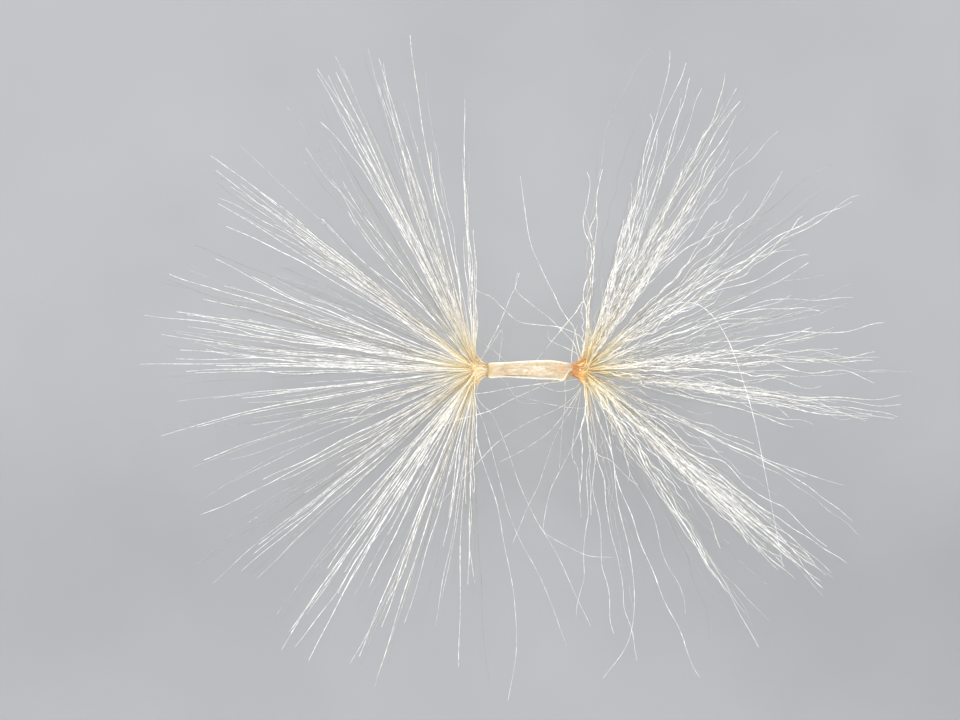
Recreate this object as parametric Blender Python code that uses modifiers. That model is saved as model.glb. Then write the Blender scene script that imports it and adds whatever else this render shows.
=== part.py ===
"""A desert rose seed: a small spindle-shaped seed with a tuft of silky hairs at each end.

Three solids: the seed body, and one tuft at each end of it. A tuft is a flared root with the
hairs fused into it. The seed lies on a surface, held up by its lower hairs, which bend where they
reach that surface. +X runs along the seed, +Z is up, and the origin is on the surface, under the
middle of the whole. Lengths are in metres.
"""

import math

import bmesh
import bpy
import numpy as np
from mathutils import Matrix, Vector

MM = 0.001

# The seed body, without the roots of its tufts.
SEED_LENGTH = 9.4 * MM
SEED_RADIUS = 1.04 * MM  # from its axis to its sides, where it is widest
LEFT_END_SHARE = 0.76  # of that radius, near the left end
BELLY_START, BELLY_GROWTH = -0.75, 1.2  # where it starts to widen, and over what length
JOINT_RADIUS = 0.64 * MM  # where a tuft starts
SHOULDERS = ((24, 0.5), (5, 0.8))  # (how late, how sharply) its left and right ends turn in
SEED_FLATNESS = 0.88  # of its section
FACE_HEIGHT = 0.80  # of the flat face along its top, as a share of its radius
FACE_EDGE = 10.0  # how sharply that face meets the sides
SEED_HEIGHT = 20 * MM  # of its axis, above the surface
SEED_SIDES = 32
SEED_RINGS = 19
SEED_BOW = 0.05 * MM  # of its middle, towards +Y
# Near the right end its middle dips towards -Y, and that side bulges into a corner. Places and
# reaches along the seed are shares of its half length.
DIP = 0.10 * MM
DIP_PLACE, DIP_REACH = 0.80, 0.20
CORNER_HEIGHT = 0.17 * MM
CORNER_PLACE, CORNER_REACH = 0.80, 0.12
CORNER_ANGLE, CORNER_HALF_WIDTH = math.radians(-80), math.radians(50)
RIB_COUNT = 5
RIB_HEIGHT = 0.03 * MM
# A seam and a rim run along the sides of the flat face. Angles go round the seed, from +Z
# towards +Y. Near the right end the seam turns up over the face, and the side below it falls in.
SEAM_HEIGHT = 0.09 * MM
SEAM_HALF_WIDTH = math.radians(11)
SEAM_ANGLE = math.radians(-74)
SEAM_TURN = math.radians(86)
SEAM_TURN_START = 0.72
SEAM_BUMPS = ((-0.90, 0.10, 0.09 * MM), (-0.48, 0.20, -0.05 * MM))  # (place, reach, height)
SIDE_FALL = 0.20
SIDE_WIDTH, SIDE_EDGE, SIDE_FADE = 1.9, 0.25, 0.6  # of the fallen side, in radians round the seed
RIM_HEIGHT = 0.04 * MM
RIM_ANGLE = math.radians(72)

# The root of a tuft, which flares from the seed's end. Each pair is (distance, radius).
JOINT_GAP = 0.1 * MM
ROOT_OUTLINE = (
    (0.00 * MM, 0.64 * MM),
    (0.35 * MM, 0.72 * MM),
    (0.65 * MM, 0.95 * MM),
    (0.90 * MM, 1.28 * MM),
    (1.12 * MM, 1.70 * MM),
    (1.35 * MM, 2.05 * MM),
    (1.70 * MM, 2.20 * MM),
    (2.10 * MM, 2.05 * MM),
    (2.50 * MM, 1.55 * MM),
    (2.80 * MM, 0.80 * MM),
)
ROOT_SIDES = 24

# The hairs. A hair leaves the root along the seed's axis and turns to its own direction.
LEFT, RIGHT = -1, 1
HAIR_COUNT = 270  # spread evenly over each tuft, before the thin parts lose some of them
HAIR_LENGTH = {LEFT: 38.2 * MM, RIGHT: 37.4 * MM}
LENGTH_LOSS = {LEFT: 0.36, RIGHT: 0.44}  # share of it that the shortest hairs lack
HAIR_RADIUS = 0.085 * MM
HAIR_SINK = 1.6 * MM  # how far along its path a hair's solid starts, inside the root
TURN_LENGTH = 2.2 * MM
WIDEST_ANGLE = math.radians(95)  # between a hair and its tuft's axis
TUFT_FLATNESS = 0.74  # how much less the hairs spread up and down than level
MOST_INWARD = 0.1  # share of a hair's heading that may point back along the seed
BUNDLE_RADIUS = 0.58 * MM  # of all the hairs together, where they leave the seed
BEND_HEIGHT = 7 * MM  # above the surface, where a hair that comes down starts to bend
LIE_HEIGHT = 0.07 * MM  # of a hair's middle, where it lies on the surface
STEPS = 48  # along a hair's path
GOLDEN_ANGLE = math.pi * (3 - math.sqrt(5))
SEEDS = {LEFT: 11, RIGHT: 23}  # for the random draws

# Hairs gather into locks. Each is (bearing, rise) in degrees: the bearing runs from +X towards
# +Y, seen from above, and the rise is above the level.
LOCKS = {
    LEFT: (
        (94, 4), (103, -6), (112, 8), (117, -9), (128, 20), (139, 3), (146, 14), (160, -4),
        (166, 6), (177, 1), (187, -9), (196, 3), (203, 19), (210, -3), (219, 6), (230, -7),
        (236, 7), (248, -12), (256, 9), (266, -5), (273, 4),
    ),
    RIGHT: (
        (86, 4), (70, 12), (66, 28), (62, 1), (57, 9), (60, -14), (39, 4), (37, 22), (33, -6),
        (21, 6), (15, -12), (10, 13), (3, 2), (-3, -11), (-9, 18), (-11, -2), (-27, 8),
        (-38, 20), (-43, 7), (-44, -8), (-58, 12), (-60, -4), (-70, 10), (-82, 3),
    ),
}
LOCK_RINGS = ((36, 1), (62, 2), (-30, 1), (-56, 2))  # (rise in degrees, one in how many locks)
LOCK_PULL = {LEFT: 0.50, RIGHT: 0.66}
# Where a tuft is thin: (bearing from, to, share of the hairs that grow there), in degrees from the
# tuft's axis, towards +Y.
THIN_PARTS = {
    LEFT: (
        (84, 180, 0.2), (70, 84, 0.5), (54, 60, 0.6), (47, 54, 0.5), (42, 47, 0.6), (22, 31, 0.6),
        (-7, -1, 0.6), (-13, -7, 0.6), (-37, -18, 0.7), (-48, -41, 0.5), (-72, -52, 0.65),
        (-80, -72, 0.4), (-180, -80, 0.4),
    ),
    RIGHT: (
        (74, 180, 0.25), (41, 54, 0.2), (12, 31, 0.75), (-20, -13, 0.5), (-36, -20, 0.5),
        (-62, -47, 0.4), (-180, -64, 0.24),
    ),
}
# Locks that hold many more hairs than the rest: (bearing, rise, hairs, how loosely they keep to it).
THICK_LOCKS = {
    LEFT: (
        (114, 12, 15, 0.7), (141, 8, 10, 0.5), (166, 4, 6, 0.6), (177, 2, 12, 0.6), (219, 4, 10, 0.5),
        (237, 10, 8, 0.8), (249, 2, 4, 0.6),
    ),
    RIGHT: (
        (66, 22, 15, 0.7), (58, 34, 8, 0.6), (38, 12, 5, 0.9), (5, 16, 5, 0.8), (-9, 8, 6, 0.6),
        (-43, 12, 30, 0.4), (-58, 18, 5, 0.8),
    ),
}
THICK_LOCK_SPREAD = 0.085  # radians, where it keeps to its lock most loosely
WAVE = {LEFT: 0.035, RIGHT: 0.065}  # how far a hair's direction sways
BOW = {LEFT: 0.10, RIGHT: 0.18}  # how far a hair's tip turns from its direction

# Where along its path a hair's solid has its corners, as shares of its length.
PLAIN_RINGS = {LEFT: (0.42,), RIGHT: (0.32, 0.66)}
BENT_RINGS = (0.34, 0.52, 0.74)

COAT_COLOUR = (0.80, 0.66, 0.47, 1)
SILK_COLOUR = {LEFT: (0.87, 0.85, 0.80, 1), RIGHT: (0.88, 0.83, 0.74, 1)}


def clear_scene():
    for obj in list(bpy.data.objects):
        bpy.data.objects.remove(obj)


def material(name, colour, roughness):
    made = bpy.data.materials.new(name)
    made.use_nodes = True
    shader = made.node_tree.nodes["Principled BSDF"]
    shader.inputs["Base Color"].default_value = colour
    shader.inputs["Roughness"].default_value = roughness
    shader.inputs["Metallic"].default_value = 0
    return made


def new_object(name, mesh, collection, finish):
    obj = bpy.data.objects.new(name, mesh)
    collection.objects.link(obj)
    mesh.materials.clear()
    mesh.materials.append(finish)
    return obj


def smoothstep(share):
    share = np.clip(share, 0, 1)
    return share * share * (3 - 2 * share)


def bell(value, width):
    return np.exp(-((value / width) ** 2))


def unit(vectors):
    return vectors / np.linalg.norm(vectors, axis=-1, keepdims=True)


def bearing_and_rise(bearing, rise):
    """The direction with this bearing and rise, in degrees."""
    bearing, rise = math.radians(bearing), math.radians(rise)
    level = math.cos(rise)
    return np.array((level * math.cos(bearing), level * math.sin(bearing), math.sin(rise)))


def turn_from(angle, start):
    """The angle from start, between half a turn back and half a turn on."""
    return (angle - start + math.pi) % (2 * math.pi) - math.pi


def middle_aside(along):
    """How far towards +Y the seed's middle stands, at a share of its half length."""
    return SEED_BOW * (1 - along**2) - DIP * bell(along - DIP_PLACE, DIP_REACH)


def coat_radius(along, angle):
    """The seed's radius at a share of its half length, from -1 to 1, and an angle round it."""
    belly = LEFT_END_SHARE + (1 - LEFT_END_SHARE) * smoothstep((along - BELLY_START) / BELLY_GROWTH)
    left, right = (np.clip(1 - np.abs(along) ** late, 0, 1) ** sharp for late, sharp in SHOULDERS)
    shoulder = np.where(along > 0, right, left)
    wide = JOINT_RADIUS + (SEED_RADIUS * belly - JOINT_RADIUS) * shoulder
    oval = wide * (1 - (1 - SEED_FLATNESS) * np.cos(angle) ** 2)
    face = FACE_HEIGHT * wide / np.maximum(np.cos(angle), 0.2)
    section = (oval**-FACE_EDGE + face**-FACE_EDGE) ** (-1 / FACE_EDGE)
    ending = smoothstep((along - SEAM_TURN_START) / (1 - SEAM_TURN_START))
    from_seam = turn_from(angle, SEAM_ANGLE + SEAM_TURN * ending)
    below = smoothstep(-from_seam / SIDE_EDGE) * smoothstep((from_seam + SIDE_WIDTH) / SIDE_FADE)
    section = section * (1 - SIDE_FALL * ending * below)
    corner = bell(along - CORNER_PLACE, CORNER_REACH)
    section = section + CORNER_HEIGHT * corner * bell(turn_from(angle, CORNER_ANGLE), CORNER_HALF_WIDTH)
    seam = SEAM_HEIGHT + sum(high * bell(along - at, reach) for at, reach, high in SEAM_BUMPS)
    seam = seam * bell(from_seam, SEAM_HALF_WIDTH)
    rim = RIM_HEIGHT * bell(turn_from(angle, RIM_ANGLE), SEAM_HALF_WIDTH)
    ribs = RIB_HEIGHT * np.cos(RIB_COUNT * angle) * smoothstep(-np.cos(angle))
    return section + (seam + rim + ribs) * shoulder


def make_seed_body(collection):
    """A capped tube along X, whose rings take the coat's radius, ribs and seam."""
    bm = bmesh.new()
    upright_to_x = Matrix.Rotation(math.pi / 2, 4, "Y")
    bmesh.ops.create_cone(
        bm, cap_ends=True, segments=SEED_SIDES, radius1=1, radius2=1, depth=2, matrix=upright_to_x
    )
    long_edges = [e for e in bm.edges if abs(e.verts[0].co.x - e.verts[1].co.x) > 1]
    bmesh.ops.subdivide_edges(bm, edges=long_edges, cuts=SEED_RINGS, use_grid_fill=False)
    for vertex in bm.verts:
        # Rings stand closer together towards the ends, where the outline turns.
        along = math.sin(vertex.co.x * math.pi / 2)
        angle = math.atan2(vertex.co.y, vertex.co.z)
        radius = coat_radius(along, angle)
        aside = middle_aside(along)
        vertex.co = Vector(
            (along * SEED_LENGTH / 2, aside + radius * math.sin(angle), radius * math.cos(angle))
        )
    bmesh.ops.recalc_face_normals(bm, faces=bm.faces)
    mesh = bpy.data.meshes.new("seed_body")
    bm.to_mesh(mesh)
    bm.free()
    body = new_object("seed_body", mesh, collection, material("seed_coat", COAT_COLOUR, 0.55))
    body.location.z = SEED_HEIGHT
    mesh.shade_smooth()
    mesh.set_sharp_from_angle(angle=math.radians(40))
    return body


def even_directions(side, draw):
    """Directions spread evenly over a tuft, by a golden spiral from its axis to its rim."""
    number = np.arange(HAIR_COUNT)
    out = 1 - (number + 0.5) / HAIR_COUNT * (1 - math.cos(WIDEST_ANGLE))
    turn = number * GOLDEN_ANGLE
    level = np.sqrt(1 - out**2)
    spread = np.stack([side * out, level * np.cos(turn), level * np.sin(turn)], 1)
    spread[:, 2] *= TUFT_FLATNESS
    return unit(spread + draw.normal(0, 0.03, spread.shape))


def lock_directions(side):
    """The locks given by hand, and rings of others above and below them."""
    found = [bearing_and_rise(*lock) for lock in LOCKS[side]]
    for rise, skip in LOCK_RINGS:
        found += [bearing_and_rise(bearing, rise) for bearing, _ in LOCKS[side][::skip]]
    return np.array(found)


def hair_directions(side, draw):
    """Where each hair points: even directions drawn towards locks, thinned, then thick locks.

    With it comes how loosely each hair keeps to that direction.
    """
    even = even_directions(side, draw)
    locks = lock_directions(side)
    nearest = locks[np.argmax(even @ locks.T, axis=1)]
    pull = LOCK_PULL[side] * draw.uniform(0.5, 1, (len(even), 1))
    gathered = unit(even * (1 - pull) + nearest * pull)
    bearing = np.degrees(np.arctan2(gathered[:, 1], side * gathered[:, 0]))
    chance = draw.random(len(gathered))
    for low, high, share in THIN_PARTS[side]:
        kept = (bearing < low) | (bearing > high) | (chance < share)
        gathered, bearing, chance = gathered[kept], bearing[kept], chance[kept]
    directions, looseness = [gathered], [np.ones(len(gathered))]
    for bearing, rise, hairs, loose in THICK_LOCKS[side]:
        spread = draw.normal(0, THICK_LOCK_SPREAD * loose, (hairs, 3))
        directions.append(unit(bearing_and_rise(bearing, rise) + spread))
        looseness.append(np.full(hairs, loose))
    return np.concatenate(directions), np.concatenate(looseness)[:, None]


def root_points(side, directions):
    """Where each hair leaves the seed's end: hairs that spread widest grow outermost."""
    out = np.clip(directions[:, 0] * side, math.cos(WIDEST_ANGLE), 1)
    share = np.sqrt((1 - out) / (1 - math.cos(WIDEST_ANGLE)))
    across = directions[:, 1:] / np.maximum(np.linalg.norm(directions[:, 1:], axis=1), 1e-9)[:, None]
    start = np.zeros_like(directions)
    start[:, 0] = side * (SEED_LENGTH / 2 + JOINT_GAP)
    start[:, 1:] = BUNDLE_RADIUS * share[:, None] * across
    start[:, 2] += SEED_HEIGHT
    return start


def hair_paths(side):
    """The points of each hair's middle line, as an array of hairs by steps by 3."""
    draw = np.random.default_rng(SEEDS[side])
    directions, looseness = hair_directions(side, draw)
    count = len(directions)
    lengths = HAIR_LENGTH[side] * (1 - LENGTH_LOSS[side] * draw.random(count) ** 1.5)
    lengths *= np.where(draw.random(count) < 0.07, draw.uniform(0.55, 0.85, count), 1)
    bow = draw.normal(0, BOW[side], (count, 3)) * looseness
    sway = draw.normal(0, WAVE[side], (2, count, 3)) * looseness
    phase = draw.uniform(0, 2 * math.pi, (2, count, 1))
    axis = np.array((side, 0.0, 0.0))
    step = lengths[:, None] / STEPS
    points = [root_points(side, directions)]
    for number in range(STEPS):
        share = (number + 0.5) / STEPS
        turned = smoothstep(share * lengths[:, None] / TURN_LENGTH)
        free = np.clip((share - 0.12) / 0.88, 0, 1)
        wave = sway[0] * np.sin(9 * share + phase[0]) + sway[1] * np.sin(21 * share + phase[1])
        heading = axis * (1 - turned) + (directions + bow * free**2 + wave * free) * turned
        heading[:, 0] = side * np.maximum(heading[:, 0] * side, -MOST_INWARD)
        heading = bent_by_surface(unit(heading), points[-1], side)
        points.append(points[-1] + heading * step)
    return np.stack(points, 1)


def bent_by_surface(heading, place, side):
    """The heading, turned outwards and level where it comes down near the surface."""
    near = np.clip((place[:, 2] - LIE_HEIGHT) / BEND_HEIGHT, 0, 1)
    fall = np.where(heading[:, 2] < 0, heading[:, 2] * near, heading[:, 2])
    outward = np.array((side * 0.15, 0))
    level = unit(heading[:, :2] + outward * (1 - near[:, None]))
    flat = np.sqrt(np.clip(1 - fall**2, 0, 1))
    return np.concatenate([level * flat[:, None], fall[:, None]], 1)


def stations_of(path, side):
    """The points of a path where a hair's solid has its corners, with their shares of its length."""
    length = np.linalg.norm(np.diff(path, axis=0), axis=1).sum()
    bends = path[-1, 2] < BEND_HEIGHT / 2
    shares = (HAIR_SINK / length, *(BENT_RINGS if bends else PLAIN_RINGS[side]), 1.0)
    at = np.array(shares) * STEPS
    low = np.minimum(at.astype(int), STEPS - 1)
    return path[low] + (path[low + 1] - path[low]) * (at - low)[:, None], shares


def make_hair(name, points, shares, spin, collection, finish):
    """A three-sided needle, cut across at its stations and laid along its path."""
    bm = bmesh.new()
    lift = Matrix.Translation((0, 0, 0.5)) @ Matrix.Rotation(spin, 4, "Z")
    bmesh.ops.create_cone(bm, cap_ends=True, segments=3, radius1=1, radius2=0, depth=1, matrix=lift)
    last = len(points) - 1
    for number in range(1, last):
        geometry = bm.verts[:] + bm.edges[:] + bm.faces[:]
        bmesh.ops.bisect_plane(
            bm, geom=geometry, plane_co=(0, 0, number / last), plane_no=(0, 0, 1), dist=1e-7
        )
    for vertex in bm.verts:
        number = round(vertex.co.z * last)
        ahead = points[min(number + 1, last)] - points[max(number - 1, 0)]
        turn = Vector((0, 0, 1)).rotation_difference(Vector(ahead))
        radius = HAIR_RADIUS * (1 - shares[number]) ** 0.5
        flat = Vector((vertex.co.x, vertex.co.y, 0))
        corner = turn @ flat.normalized() * radius if radius > 0 else Vector()
        vertex.co = Vector(points[number]) + corner
    mesh = bpy.data.meshes.new(name)
    bm.to_mesh(mesh)
    bm.free()
    return new_object(name, mesh, collection, finish)


def make_root(name, side, collection, finish):
    """The flared root that a tuft's hairs stand in: an outline turned about the seed's axis."""
    far = ROOT_OUTLINE[-1][0] + 0.04 * MM
    outline = [(0.0, ROOT_OUTLINE[0][0]), *((r, d) for d, r in ROOT_OUTLINE), (0.0, far)]
    mesh = bpy.data.meshes.new(name)
    edges = [(i, i + 1) for i in range(len(outline) - 1)]
    mesh.from_pydata([(r, 0, d) for r, d in reversed(outline)], edges, [])
    root = new_object(name, mesh, collection, finish)
    root.rotation_euler.y = side * math.pi / 2
    root.location = (side * (SEED_LENGTH / 2 + JOINT_GAP), 0, SEED_HEIGHT)
    turned = root.modifiers.new("turned", "SCREW")
    turned.axis = "Z"
    turned.steps = turned.render_steps = ROOT_SIDES
    turned.use_merge_vertices = True
    turned.merge_threshold = 1e-6
    return root


def make_tuft(name, side, collection):
    """A root with its hairs joined to it by one union."""
    finish = material(name, SILK_COLOUR[side], 0.4)
    root = make_root(name, side, collection, finish)
    hairs = bpy.data.collections.new(name + "_hairs")
    bpy.context.scene.collection.children.link(hairs)
    for number, path in enumerate(hair_paths(side)):
        points, shares = stations_of(path, side)
        make_hair(f"{name}_hair_{number}", points, shares, number * 0.7, hairs, finish)
    union = root.modifiers.new("hairs", "BOOLEAN")
    union.operation = "UNION"
    union.operand_type = "COLLECTION"
    union.collection = hairs
    union.solver = "MANIFOLD"
    graph = bpy.context.evaluated_depsgraph_get()
    joined = bpy.data.meshes.new_from_object(root.evaluated_get(graph))
    root.modifiers.clear()
    root.data = joined
    for hair in list(hairs.objects):
        bpy.data.objects.remove(hair)
    bpy.data.collections.remove(hairs)
    return root


def set_down(objects):
    """Moves the whole so that the origin is on the surface, under the middle of it."""
    bpy.context.view_layer.update()
    corners = np.array([obj.matrix_world @ v.co for obj in objects for v in obj.data.vertices])
    low, high = corners.min(0), corners.max(0)
    shift = Vector((-(low[0] + high[0]) / 2, -(low[1] + high[1]) / 2, -low[2]))
    for obj in objects:
        obj.location += shift


def main():
    clear_scene()
    collection = bpy.data.collections.new("desert_rose_seed")
    bpy.context.scene.collection.children.link(collection)
    body = make_seed_body(collection)
    left = make_tuft("left_tuft", LEFT, collection)
    right = make_tuft("right_tuft", RIGHT, collection)
    set_down([body, left, right])


main()
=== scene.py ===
"""The looks of the desert rose seed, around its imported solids.

The seed's coat, the flared roots of its two tufts and every hair are meshes with their own
materials. The hairs follow the same rule as the solids' hairs, and finer ones lie among them.
Short fibres fill the roots, and a few stray hairs hang loose, most of them between the tufts.
Lengths are in metres, and MM is a millimetre.
"""

import math

import bpy
import numpy as np
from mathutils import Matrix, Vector


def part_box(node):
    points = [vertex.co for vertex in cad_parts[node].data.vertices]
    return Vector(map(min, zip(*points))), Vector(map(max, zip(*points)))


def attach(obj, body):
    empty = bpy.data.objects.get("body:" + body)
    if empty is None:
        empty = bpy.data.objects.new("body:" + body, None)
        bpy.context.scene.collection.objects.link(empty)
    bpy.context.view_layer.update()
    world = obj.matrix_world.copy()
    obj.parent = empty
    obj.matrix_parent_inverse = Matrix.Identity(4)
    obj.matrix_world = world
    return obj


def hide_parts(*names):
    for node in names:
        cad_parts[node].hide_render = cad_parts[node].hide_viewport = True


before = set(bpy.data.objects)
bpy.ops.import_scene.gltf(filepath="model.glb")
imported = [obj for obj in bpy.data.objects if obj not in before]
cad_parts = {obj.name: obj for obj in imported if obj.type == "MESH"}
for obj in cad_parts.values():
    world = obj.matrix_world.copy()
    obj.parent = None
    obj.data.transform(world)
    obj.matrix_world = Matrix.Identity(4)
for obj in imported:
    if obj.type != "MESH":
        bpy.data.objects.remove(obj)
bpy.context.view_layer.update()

MM = 0.001
TINY = 1e-9  # keeps a division by nothing from failing

# The seed body, as the solids have it. Places and reaches along it are shares of its half length,
# and angles go round it, from +Z towards +Y.
SEED_LENGTH = 9.4 * MM
SEED_RADIUS = 1.04 * MM  # from its axis to its sides, where it is widest
LEFT_END_SHARE = 0.76  # of that radius, near the left end
BELLY_START, BELLY_GROWTH = -0.75, 1.2  # where it starts to widen, and over what length
JOINT_RADIUS = 0.64 * MM  # where a tuft starts
SHOULDERS = ((24, 0.5), (5, 0.8))  # (how late, how sharply) its left and right ends turn in
SEED_FLATNESS = 0.88  # of its section
FACE_HEIGHT = 0.80  # of the flat face along its top, as a share of its radius
FACE_EDGE = 10.0  # how sharply that face meets the sides
FACE_COSINE = 0.2  # the least that is used for it, which keeps the underside round
SEED_HEIGHT = 20 * MM  # of its axis, above the surface
SEED_BOW = 0.05 * MM  # of its middle, towards +Y
DIP = 0.10 * MM  # of its middle near the right end, towards -Y
DIP_PLACE, DIP_REACH = 0.80, 0.20
CORNER_HEIGHT = 0.17 * MM  # of the bulge on the side that the middle dips towards
CORNER_PLACE, CORNER_REACH = 0.80, 0.12
CORNER_ANGLE, CORNER_HALF_WIDTH = math.radians(-80), math.radians(50)
RIB_COUNT = 5
RIB_HEIGHT = 0.03 * MM
SEAM_HEIGHT = 0.09 * MM
SEAM_HALF_WIDTH = math.radians(11)
SEAM_ANGLE = math.radians(-74)
SEAM_TURN = math.radians(86)  # up over the face, near the right end
SEAM_TURN_START = 0.72
SEAM_BUMPS = ((-0.90, 0.10, 0.09 * MM), (-0.48, 0.20, -0.05 * MM))  # (place, reach, height)
SIDE_FALL = 0.20  # of the side below the seam's turn, as a share of the radius
SIDE_WIDTH, SIDE_EDGE, SIDE_FADE = 1.9, 0.25, 0.6  # of that side, in radians round the seed
RIM_HEIGHT = 0.04 * MM
RIM_ANGLE = math.radians(72)

# The hairs, as the solids have them. A hair leaves the root along the seed's axis and turns to its
# own direction.
LEFT, RIGHT = -1, 1
NAMES = {LEFT: "left", RIGHT: "right"}
SLOTS = {LEFT: "left_tuft", RIGHT: "right_tuft"}
JOINT_GAP = 0.1 * MM
HAIR_COUNT = 270  # spread evenly over each tuft, before the thin parts lose some of them
HAIR_LENGTH = {LEFT: 38.2 * MM, RIGHT: 37.4 * MM}
LENGTH_LOSS = {LEFT: 0.36, RIGHT: 0.44}  # share of it that the shortest hairs lack
LOSS_CURVE = 1.5  # how few hairs lack that much
BROKEN_SHARE = 0.07  # of the hairs
BROKEN_LENGTH = (0.55, 0.85)  # share of its length that a broken hair keeps
TURN_LENGTH = 2.2 * MM
WIDEST_ANGLE = math.radians(95)  # between a hair and its tuft's axis
TUFT_FLATNESS = 0.74  # how much less the hairs spread up and down than level
DIRECTION_SPREAD = 0.03  # radians, by which even directions differ from their rule
MOST_INWARD = 0.1  # share of a hair's heading that may point back along the seed
BUNDLE_RADIUS = 0.58 * MM  # of all the hairs together, where they leave the seed
BEND_HEIGHT = 7 * MM  # above the surface, where a hair that comes down starts to bend
LIE_HEIGHT = 0.07 * MM  # of a hair's middle, where it lies on the surface
LIE_OUTWARD = 0.15  # how far a hair that lies there turns away from the seed
STEPS = 48  # along a hair's path
GOLDEN_ANGLE = math.pi * (3 - math.sqrt(5))
SEEDS = {LEFT: 11, RIGHT: 23}  # for the random draws

# Hairs gather into locks. Each is (bearing, rise) in degrees: the bearing runs from +X towards
# +Y, seen from above, and the rise is above the level.
LOCKS = {
    LEFT: (
        (94, 4), (103, -6), (112, 8), (117, -9), (128, 20), (139, 3), (146, 14), (160, -4),
        (166, 6), (177, 1), (187, -9), (196, 3), (203, 19), (210, -3), (219, 6), (230, -7),
        (236, 7), (248, -12), (256, 9), (266, -5), (273, 4),
    ),
    RIGHT: (
        (86, 4), (70, 12), (66, 28), (62, 1), (57, 9), (60, -14), (39, 4), (37, 22), (33, -6),
        (21, 6), (15, -12), (10, 13), (3, 2), (-3, -11), (-9, 18), (-11, -2), (-27, 8),
        (-38, 20), (-43, 7), (-44, -8), (-58, 12), (-60, -4), (-70, 10), (-82, 3),
    ),
}
LOCK_RINGS = ((36, 1), (62, 2), (-30, 1), (-56, 2))  # (rise in degrees, one in how many locks)
LOCK_PULL = {LEFT: 0.50, RIGHT: 0.66}
LEAST_PULL = 0.5  # share of that pull which the freest hair feels
# Where a tuft is thin: (bearing from, to, share of the hairs that grow there), in degrees from the
# tuft's axis, towards +Y.
THIN_PARTS = {
    LEFT: (
        (84, 180, 0.2), (70, 84, 0.5), (54, 60, 0.6), (47, 54, 0.5), (42, 47, 0.6), (22, 31, 0.6),
        (-7, -1, 0.6), (-13, -7, 0.6), (-37, -18, 0.7), (-48, -41, 0.5), (-72, -52, 0.65),
        (-80, -72, 0.4), (-180, -80, 0.4),
    ),
    RIGHT: (
        (74, 180, 0.25), (41, 54, 0.2), (12, 31, 0.75), (-20, -13, 0.5), (-36, -20, 0.5),
        (-62, -47, 0.4), (-180, -64, 0.24),
    ),
}
# Locks that hold many more hairs than the rest: (bearing, rise, hairs, how loosely they keep to it).
THICK_LOCKS = {
    LEFT: (
        (114, 12, 15, 0.7), (141, 8, 10, 0.5), (166, 4, 6, 0.6), (177, 2, 12, 0.6), (219, 4, 10, 0.5),
        (237, 10, 8, 0.8), (249, 2, 4, 0.6),
    ),
    RIGHT: (
        (66, 22, 15, 0.7), (58, 34, 8, 0.6), (38, 12, 5, 0.9), (5, 16, 5, 0.8), (-9, 8, 6, 0.6),
        (-43, 12, 30, 0.4), (-58, 18, 5, 0.8),
    ),
}
THICK_LOCK_SPREAD = 0.085  # radians, where it keeps to its lock most loosely
WAVE = {LEFT: 0.035, RIGHT: 0.065}  # how far a hair's direction sways
WAVE_TURNS = (9, 21)  # radians of each of its two sways, along the whole hair
BOW = {LEFT: 0.10, RIGHT: 0.18}  # how far a hair's tip turns from its direction
STIFF_SHARE = 0.12  # of a hair's length, at its root, where it neither bows nor sways

# Finer hairs that lie along some of those.
COMPANION_SEEDS = {LEFT: 5, RIGHT: 7}
COMPANIONS = (0, 1)  # how many finer hairs lie along a hair, drawn from these
COMPANION_SPREAD = {LEFT: 1.2 * MM, RIGHT: 1.6 * MM}  # between a hair's tip and its companion's
COMPANION_REACH = (0.4, 1.0)  # share of that spread that a companion has
COMPANION_CUT = 0.5  # share of the hair's length that the shortest companion has
COMPANION_PARTING = (-0.3, 0.3)  # share of the hair's length where it starts to part from it
COMPANION_HOLD = 6  # it is free of the hair's base after one part in this many

# The finer shape of a hair.
KINKS = {  # (size, waves along a hair) of its sways
    LEFT: ((0.10 * MM, 2.0), (0.03 * MM, 5.0)),
    RIGHT: ((0.20 * MM, 3.0), (0.10 * MM, 7.0)),
}
KINK_LAYERS = 2  # sways of each size
KINK_LAYER_SHARE = 0.7  # of that size, for each
KINK_RANGE = (0.6, 1.4)  # share of those waves that a single hair has
KINK_HOLD = 3  # they are full after one part in this many of its length
FINE_RADIUS = 0.060 * MM
THINNEST, THICKNESS_RANGE = 0.55, 0.70  # shares of it
THICKNESS_CURVE = 1.5  # how few hairs are the thickest
BASE_SHARE = 1.4  # of its radius, where a hair leaves the seed
BASE_LENGTH = 3 * MM
FLATNESS = 0.5  # of a hair's section
TIP_SHARE = 0.4  # of its radius that a hair keeps at its tip
TAPER_CURVE = 1.5  # how late it gets thin
MOST_TURNS = 5.0  # of a flat hair's section about its length
SEGMENTS = 44
SIDES = 4
COLOUR_SHIFT = 0.6 * MM  # by which a hair's colours come sooner or later than the mean
HAIR_SEEDS = {LEFT: 105, RIGHT: 107}  # for their thickness, tone and twist
STRAIGHT = 0.05  # radians: a hair that turns less has SPARE_DIRECTION for its section
SPARE_DIRECTION = (0.3, 0.5, 0.8)

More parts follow.
